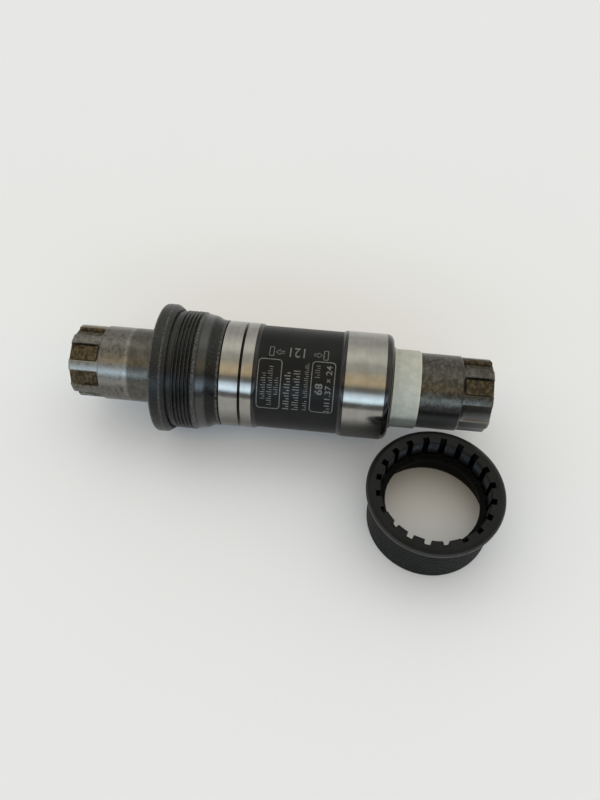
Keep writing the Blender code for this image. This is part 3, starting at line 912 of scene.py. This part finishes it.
def fixed_cup_finish():
    """Black coating with dust on the top side, worn edges and an oily ring behind the thread."""
    f = Finish("black_fixed_cup", SPINDLE_START, 0.4, 0.0, 0.3)
    radius = f.length(f.y, f.z)
    turning = f.noise((9.0, 0.10, 0.10), 4.0, 0.65, 2.0)
    dust = f.noise((1.9, 1.9, 1.9), 6.0, 0.8, 11.0)
    specks = f.noise((5.0, 5.0, 5.0), 2.0, 0.6, 17.0)
    cloud = f.noise((0.3, 0.3, 0.3), 4.0, 0.6, 25.0)
    upward = f.calc("DIVIDE", f.z, radius)
    nose = f.ramped(f.x, 37.9, 38.6)
    corner = f.any_of(f.within(f.x, 25.5, 26.0, 0.25), f.within(f.x, 28.5, 28.9, 0.25),
                      f.within(f.x, 43.7, 44.3, 0.3))
    run_out = f.within(f.x, 37.2, 38.0, 0.35)
    crest = f.share(f.ramped(radius, 17.1, 17.35), f.within(f.x, 31.4, 37.4, 0.2))
    base = f.mix(f.ramped(cloud, 0.35, 0.65), (0.0020, 0.0020, 0.0020), (0.0055, 0.0055, 0.0052))
    base = f.mix(f.share(f.ramped(upward, 0.75, 1.0), f.ramped(dust, 0.3, 0.7)), base,
                 (0.024, 0.024, 0.022))
    dusty = f.blend(nose, 0.35, 0.05)
    base = f.mix(f.share(f.ramped(dust, 0.50, 0.75), dusty), base, (0.050, 0.049, 0.044))
    base = f.mix(f.share(crest, f.ramped(dust, 0.35, 0.75)), base, (0.035, 0.035, 0.033))
    base = f.mix(f.share(f.any_of(run_out, corner), f.ramped(dust, 0.40, 0.60)), base,
                 (0.095, 0.094, 0.088))
    base = f.mix(f.share(f.ramped(specks, 0.66, 0.74), 0.8), base, (0.24, 0.235, 0.22))
    f.colour(base)
    oily = f.within(f.x, 38.4, 40.8, 0.5)
    f.specular(f.blend(nose, 0.30, f.blend(oily, 0.20, 0.75)))
    f.roughness(f.blend(nose, f.blend(f.ramped(dust, 0.35, 0.7), 0.26, 0.42),
                        f.blend(f.ramped(dust, 0.35, 0.7), 0.13, 0.24)))
    f.bump(turning, 0.02)
    f.bump(dust, 0.02, 0.6)
    f.bump(specks, 0.03, 0.6)
    return f.material


def loose_cup_finish():
    """Black coating with a painted blue reflection on the upper lands, and painted shade that blackens the
    notches and the bore below the lands.
    """
    f = Finish("black_loose_cup", CUP_FOOT, 0.45, 0.0, 0.25)
    radius = f.length(f.x, f.y)
    pebble = f.noise((2.2, 2.2, 2.2), 4.0, 0.65, 13.0)
    cloud = f.noise((0.2, 0.2, 0.2), 3.0, 0.55, 41.0)
    specks = f.noise((4.0, 4.0, 4.0), 2.0, 0.6, 19.0)
    base = f.mix(f.ramped(cloud, 0.3, 0.7), (0.0028, 0.0028, 0.0028), (0.0060, 0.0060, 0.0056))
    base = f.mix(f.share(f.ramped(pebble, 0.5, 0.75), 0.25), base, (0.024, 0.025, 0.025))
    inside = f.share(f.ramped(radius, 15.0, 14.85), f.ramped(f.z, CUP_TOP - 0.2, CUP_TOP - 0.45))
    slot = f.share(f.ramped(radius, 14.95, 15.1), f.ramped(f.z, CUP_TOP - 0.1, CUP_TOP - 0.3))
    # Painted shade: the notches and the bore below the lands are near black and less glossy.
    recess_shade = f.any_of(f.share(f.ramped(radius, 16.7, 16.5), slot), f.share(inside, f.ramped(f.z, 13.0, 12.0)))
    # Painted reflection: blue speckles on the upper lands inside the cup.
    land_reflection = f.share(f.share(inside, f.within(f.z, 14.5, 17.0, 0.6)), f.ramped(pebble, 0.48, 0.60))
    base = f.mix(f.share(land_reflection, 0.7), base, (0.075, 0.105, 0.150))
    lip = f.share(f.ramped(radius, 18.3, 18.5), f.ramped(f.z, CUP_TOP - 0.2, CUP_TOP - 0.6))
    base = f.mix(f.share(lip, 0.8), base, (0.036, 0.036, 0.034))
    base = f.mix(recess_shade, base, (0.0008, 0.0008, 0.0008))
    base = f.mix(f.share(f.ramped(specks, 0.74, 0.79), 0.9), base, (0.4, 0.4, 0.38))
    f.colour(base)
    f.specular(f.blend(recess_shade, 0.17, 0.05))
    f.roughness(f.blend(f.ramped(pebble, 0.35, 0.7), 0.30, 0.48))
    f.bump(pebble, 0.06, 0.6)
    return f.material


def sleeve_finish():
    """Pale plastic with yellowed ends and dirt spots, with painted shade that makes it darker low down."""
    f = Finish("sleeve_plastic", SPINDLE_START, 0.5, 0.0, 0.35)
    cloud = f.noise((0.5, 0.5, 0.5), 4.0, 0.6, 5.0)
    spots = f.noise((1.6, 1.6, 1.6), 3.0, 0.6, 15.0)
    base = f.mix(f.ramped(cloud, 0.35, 0.7), (0.40, 0.41, 0.365), (0.475, 0.485, 0.43))
    edge = f.calc("ABSOLUTE", f.calc("SUBTRACT", f.x, 96.75))
    base = f.mix(f.share(f.ramped(edge, 3.35, 3.7), 0.6), base, (0.58, 0.57, 0.45))
    base = f.mix(f.share(f.ramped(spots, 0.66, 0.74), 0.35), base, (0.20, 0.19, 0.15))
    # Painted shade: darker low down.
    under = f.ramped(f.z, 2.4, 0.4)
    base = f.mix(f.share(under, 0.8), base, (0.125, 0.13, 0.115))
    f.colour(base)
    f.bump(f.noise((4.0, 1.0, 1.0), 3.0, 0.6, 1.0), 0.01)
    return f.material


def plain_finish(name, low, high, roughness, metallic, grain, specular=0.5):
    """A turned or moulded surface that goes between two colours, for the small inner parts."""
    f = Finish(name, SPINDLE_START, roughness, metallic, specular)
    cloud = f.noise((0.9, 0.9, 0.9), 4.0, 0.6, 3.0)
    f.colour(f.mix(f.ramped(cloud, 0.35, 0.68), low, high))
    f.roughness(f.blend(cloud, roughness * 0.8, roughness * 1.2))
    f.bump(f.noise((grain, 0.5, 0.5), 3.0, 0.6, 1.0), 0.01)
    return f.material


def print_finish():
    f = Finish("print_ink", SPINDLE_START, 0.45, 0.0, 0.4)
    wear = f.noise((3.0, 3.0, 3.0), 3.0, 0.6, 8.0)
    f.colour(f.mix(f.ramped(wear, 0.38, 0.62), (0.085, 0.085, 0.08), (0.17, 0.17, 0.16)))
    return f.material


# ---------------------------------------------------------------- floor, light and camera

FLOOR_SIZE = 6.0
# The light's colour by its direction's angle from +Y over the top to the front, in degrees.
LIGHT_SCALE = 1.75
LIGHT_STOPS = (
    (0, (0.42, 0.42, 0.40)),
    (30, (0.43, 0.43, 0.41)),
    (50, (0.58, 0.58, 0.54)),
    (62, (0.70, 0.70, 0.64)),
    (74, (0.64, 0.64, 0.58)),
    (84, (0.44, 0.44, 0.41)),
    (98, (0.42, 0.41, 0.36)),
    (107, (0.55, 0.48, 0.36)),
    (122, (0.62, 0.51, 0.34)),
    (129, (0.40, 0.35, 0.26)),
    (134, (0.16, 0.15, 0.13)),
    (141, (0.20, 0.21, 0.22)),
    (148, (0.75, 0.92, 1.08)),
    (159, (1.20, 1.52, 1.80)),
    (164, (0.85, 1.08, 1.28)),
    (168, (0.12, 0.12, 0.12)),
    (177, (0.12, 0.12, 0.12)),
    (180, (0.30, 0.31, 0.31)),
)
# The strips of light fade into one grey towards both ends of the spindle's axis.
LIGHT_FADE_START = 0.80
LIGHT_FADE_END = 0.99
LIGHT_END_COLOUR = (0.5, 0.5, 0.5, 1.0)
BACKDROP_COLOUR = (0.72, 0.72, 0.71, 1.0)
FLOOR_GAP = 0.00002


def make_floor():
    half = FLOOR_SIZE / 2
    mesh = bpy.data.meshes.new("floor")
    corners = [(-half, -half, 0.0), (half, -half, 0.0), (half, half, 0.0), (-half, half, 0.0)]
    mesh.from_pydata(corners, [], [(0, 1, 2, 3)])
    finish = Finish("floor", Vector((0, 0, 0)), 0.9, 0.0, 0.0)
    cloud = finish.noise((0.01, 0.01, 0.01), 2.0, 0.5, 1.0)
    finish.colour(finish.mix(cloud, (0.855, 0.865, 0.905), (0.875, 0.885, 0.925)))
    floor = finished_object("floor", mesh, finish.material)
    floor.location.z = cad_box[0].z - FLOOR_GAP


def make_light():
    """The studio as one sky of long strips: a window in front, soft panels above and behind.

    The camera itself sees a plain backdrop in its place.
    """
    world = bpy.data.worlds.new("studio")
    bpy.context.scene.world = world
    world.use_nodes = True
    tree = world.node_tree
    nodes, links = tree.nodes, tree.links
    background = nodes["Background"]
    coordinates = nodes.new("ShaderNodeTexCoord")
    split = nodes.new("ShaderNodeSeparateXYZ")
    links.new(coordinates.outputs["Generated"], split.inputs[0])
    turn = nodes.new("ShaderNodeMath")
    turn.operation = "ARCTAN2"
    links.new(split.outputs["Z"], turn.inputs[0])
    links.new(split.outputs["Y"], turn.inputs[1])
    share = nodes.new("ShaderNodeMath")
    share.operation = "DIVIDE"
    links.new(turn.outputs[0], share.inputs[0])
    share.inputs[1].default_value = math.pi
    ramp = nodes.new("ShaderNodeValToRGB")
    stops = ramp.color_ramp.elements
    stops[0].color = (*LIGHT_STOPS[0][1], 1.0)
    stops[1].color = (*LIGHT_STOPS[-1][1], 1.0)
    for angle, colour in LIGHT_STOPS[1:-1]:
        stops.new(angle / 180).color = (*colour, 1.0)
    links.new(share.outputs[0], ramp.inputs[0])
    sideways = nodes.new("ShaderNodeMath")
    sideways.operation = "ABSOLUTE"
    links.new(split.outputs["X"], sideways.inputs[0])
    fade = nodes.new("ShaderNodeMapRange")
    fade.interpolation_type = "SMOOTHSTEP"
    fade.inputs["From Min"].default_value = LIGHT_FADE_START
    fade.inputs["From Max"].default_value = LIGHT_FADE_END
    links.new(sideways.outputs[0], fade.inputs["Value"])
    ends = nodes.new("ShaderNodeMix")
    ends.data_type = "RGBA"
    links.new(fade.outputs[0], ends.inputs["Factor"])
    links.new(ramp.outputs[0], ends.inputs["A"])
    ends.inputs["B"].default_value = LIGHT_END_COLOUR
    links.new(ends.outputs["Result"], background.inputs["Color"])
    background.inputs["Strength"].default_value = LIGHT_SCALE
    backdrop = nodes.new("ShaderNodeBackground")
    backdrop.inputs["Color"].default_value = BACKDROP_COLOUR
    path = nodes.new("ShaderNodeLightPath")
    chosen = nodes.new("ShaderNodeMixShader")
    links.new(path.outputs["Is Camera Ray"], chosen.inputs[0])
    links.new(background.outputs[0], chosen.inputs[1])
    links.new(backdrop.outputs[0], chosen.inputs[2])
    links.new(chosen.outputs[0], nodes["World Output"].inputs["Surface"])


CAMERA_AIM = Vector((0.004329, 0.008449, 0.0189))
CAMERA_DISTANCE = 0.21069
CAMERA_ELEVATION = 55.9
CAMERA_AZIMUTH = 6.13
CAMERA_ROLL = 0.16
CAMERA_LENS = 32.73


def make_camera():
    camera = bpy.data.objects.new("camera", bpy.data.cameras.new("camera"))
    bpy.context.scene.collection.objects.link(camera)
    camera.data.lens = CAMERA_LENS
    camera.data.clip_start = 0.01
    camera.data.clip_end = 50.0
    elevation, azimuth = math.radians(CAMERA_ELEVATION), math.radians(CAMERA_AZIMUTH)
    back = Vector((math.sin(azimuth) * math.cos(elevation), -math.cos(azimuth) * math.cos(elevation),
                   math.sin(elevation)))
    camera.location = CAMERA_AIM + back * CAMERA_DISTANCE
    upright = (-back).to_track_quat("-Z", "Y").to_matrix()
    turn = upright @ Matrix.Rotation(math.radians(CAMERA_ROLL), 3, "Z")
    camera.rotation_euler = turn.to_euler()
    bpy.context.scene.camera = camera


# ---------------------------------------------------------------- everything together

ground_steel = ground_finish()
black_tube = tube_finish()
seal_case = plain_finish("seal_case_steel", (0.10, 0.085, 0.06), (0.20, 0.17, 0.12), 0.35, 1.0, 9.0)
seal_rubber = plain_finish("seal_rubber", (0.010, 0.010, 0.010), (0.020, 0.019, 0.018), 0.6, 0.0, 5.0)
bearing_steel = plain_finish("bearing_steel", (0.50, 0.50, 0.49), (0.56, 0.56, 0.55), 0.12, 1.0, 3.0)
cage_steel = plain_finish("cage_steel", (0.34, 0.31, 0.26), (0.42, 0.39, 0.33), 0.35, 1.0, 7.0)

make_spindle(spindle_finish())
make_fixed_cup(fixed_cup_finish())
make_left_cup(loose_cup_finish())
make_races(ground_steel, black_tube)
make_tube(black_tube)
make_print(print_finish())
make_seals(seal_case, seal_rubber)
make_shields(seal_case)
make_sleeve(sleeve_finish())
make_balls(bearing_steel)
for cage in ("drive_cage", "left_cage"):
    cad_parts[cage].data.materials.clear()
    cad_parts[cage].data.materials.append(cage_steel)
make_floor()
make_light()
make_camera()
bpy.context.scene.view_settings.view_transform = "Standard"
